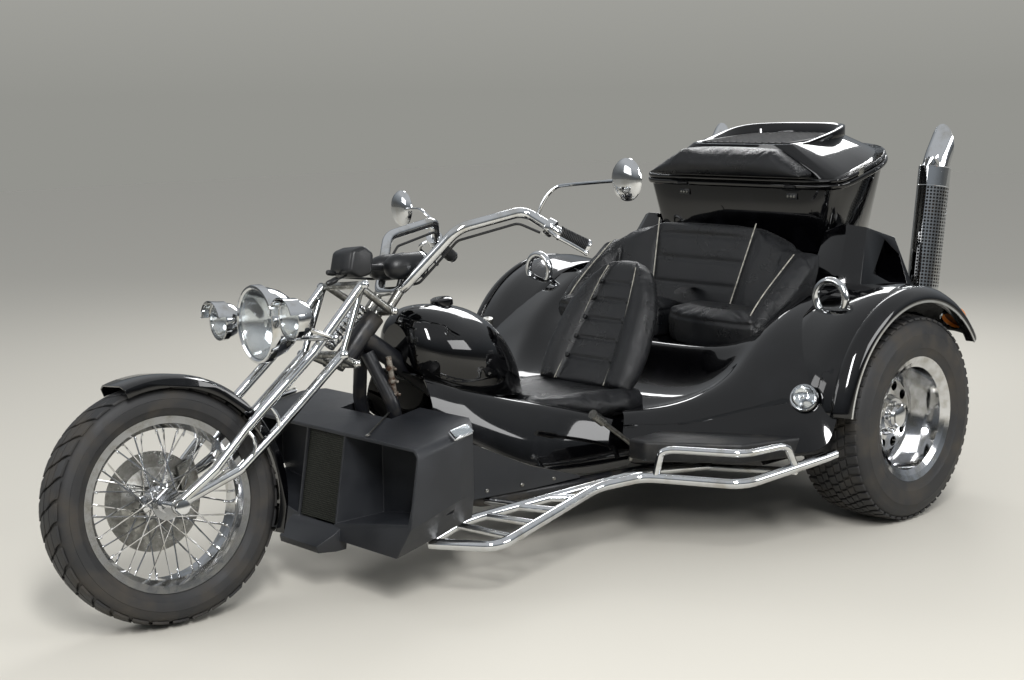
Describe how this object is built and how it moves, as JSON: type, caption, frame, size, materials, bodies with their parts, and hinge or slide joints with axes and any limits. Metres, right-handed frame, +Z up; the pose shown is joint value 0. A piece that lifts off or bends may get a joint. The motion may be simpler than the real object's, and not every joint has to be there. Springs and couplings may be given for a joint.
{
  "type": "three-wheeled motorized trike",
  "caption": "Three-seat motor trike: wire-spoke front wheel in a raked girder fork, wide rear wheels under fenders, bench, hinged trunk and upright exhaust stacks.",
  "frame": {"origin": "on the ground under the middle of the vehicle's box", "axes": "+X forward, +Y to the rider's left, +Z up"},
  "size_m": [3.3632, 1.8, 1.2952],
  "materials": {
    "black_frame": "satin",
    "cast_engine": "matte",
    "matte_black_panel": "matte",
    "radiator_fins": "satin",
    "gloss_black_body": "gloss",
    "black_leather": "satin",
    "chrome": "polished",
    "brushed_metal": "brushed",
    "clear_lens": "gloss",
    "amber_lens": "gloss",
    "black_rubber": "matte",
    "tyre": "matte"
  },
  "bodies": {
    "chassis": {"frame": "black_frame", "engine_block": "cast_engine", "rear_axle": "black_frame", "radiator_cowl": "matte_black_panel", "radiator_core": "radiator_fins", "nose_body": "gloss_black_body", "fuel_tank": "gloss_black_body", "driver_seat": "black_leather", "driver_backrest": "black_leather", "rear_body": "gloss_black_body", "fender_flares": "gloss_black_body", "rear_cushions": "black_leather", "rear_backrest": "black_leather", "trunk_box": "gloss_black_body", "exhaust_pipes": "chrome", "stack_shields": "chrome", "rear_deck": "gloss_black_body", "grab_hoops": "chrome", "step_boards": "matte_black_panel", "step_rails": "chrome", "clear_lamps": "clear_lens", "tail_lamps": "amber_lens", "plate_bracket": "black_frame", "hand_levers": "brushed_metal"},
    "steering": {"fork_yoke": "chrome", "fork_legs": "chrome", "fork_springs": "chrome", "front_fender": "gloss_black_body", "headlight": "chrome", "spot_lamps": "chrome", "handlebar": "chrome", "grips": "black_rubber", "mirrors": "chrome", "gauges": "black_rubber", "brake_caliper": "brushed_metal", "cables": "black_rubber"},
    "front_wheel": {"front_tyre": "tyre", "front_wheel": "chrome", "front_disc": "brushed_metal"},
    "rear_wheel_left": {"rear_tyre_left": "tyre", "rear_wheel_left": "chrome"},
    "rear_wheel_right": {"rear_tyre_right": "tyre", "rear_wheel_right": "chrome"},
    "trunk_lid": {"trunk_lid": "gloss_black_body", "lid_pad": "black_leather"}
  },
  "joints": [
    {"name": "steering_turn", "type": "hinge", "parent": "chassis", "child": "steering", "pos_m": [0.6723, 0, 0.72], "axis": [-0.7145, 0, 0.6997], "range_deg": [-25.6, 44.4]},
    {"name": "front_wheel_spin", "type": "hinge", "parent": "steering", "child": "front_wheel", "pos_m": [1.35043, -0.03256, 0.33119], "axis": [0.1143, 0.9866, 0.1167], "continuous": true},
    {"name": "rear_wheel_left_spin", "type": "hinge", "parent": "chassis", "child": "rear_wheel_left", "pos_m": [-0.9377, 0.767, 0.3446], "axis": [0, 1, 0], "continuous": true},
    {"name": "rear_wheel_right_spin", "type": "hinge", "parent": "chassis", "child": "rear_wheel_right", "pos_m": [-0.9377, -0.767, 0.3446], "axis": [0, 1, 0], "continuous": true},
    {"name": "trunk_lid_hinge", "type": "hinge", "parent": "chassis", "child": "trunk_lid", "pos_m": [-1.0777, 0, 1.08], "axis": [0, 1, 0], "range_deg": [0, 65]}
  ]
}
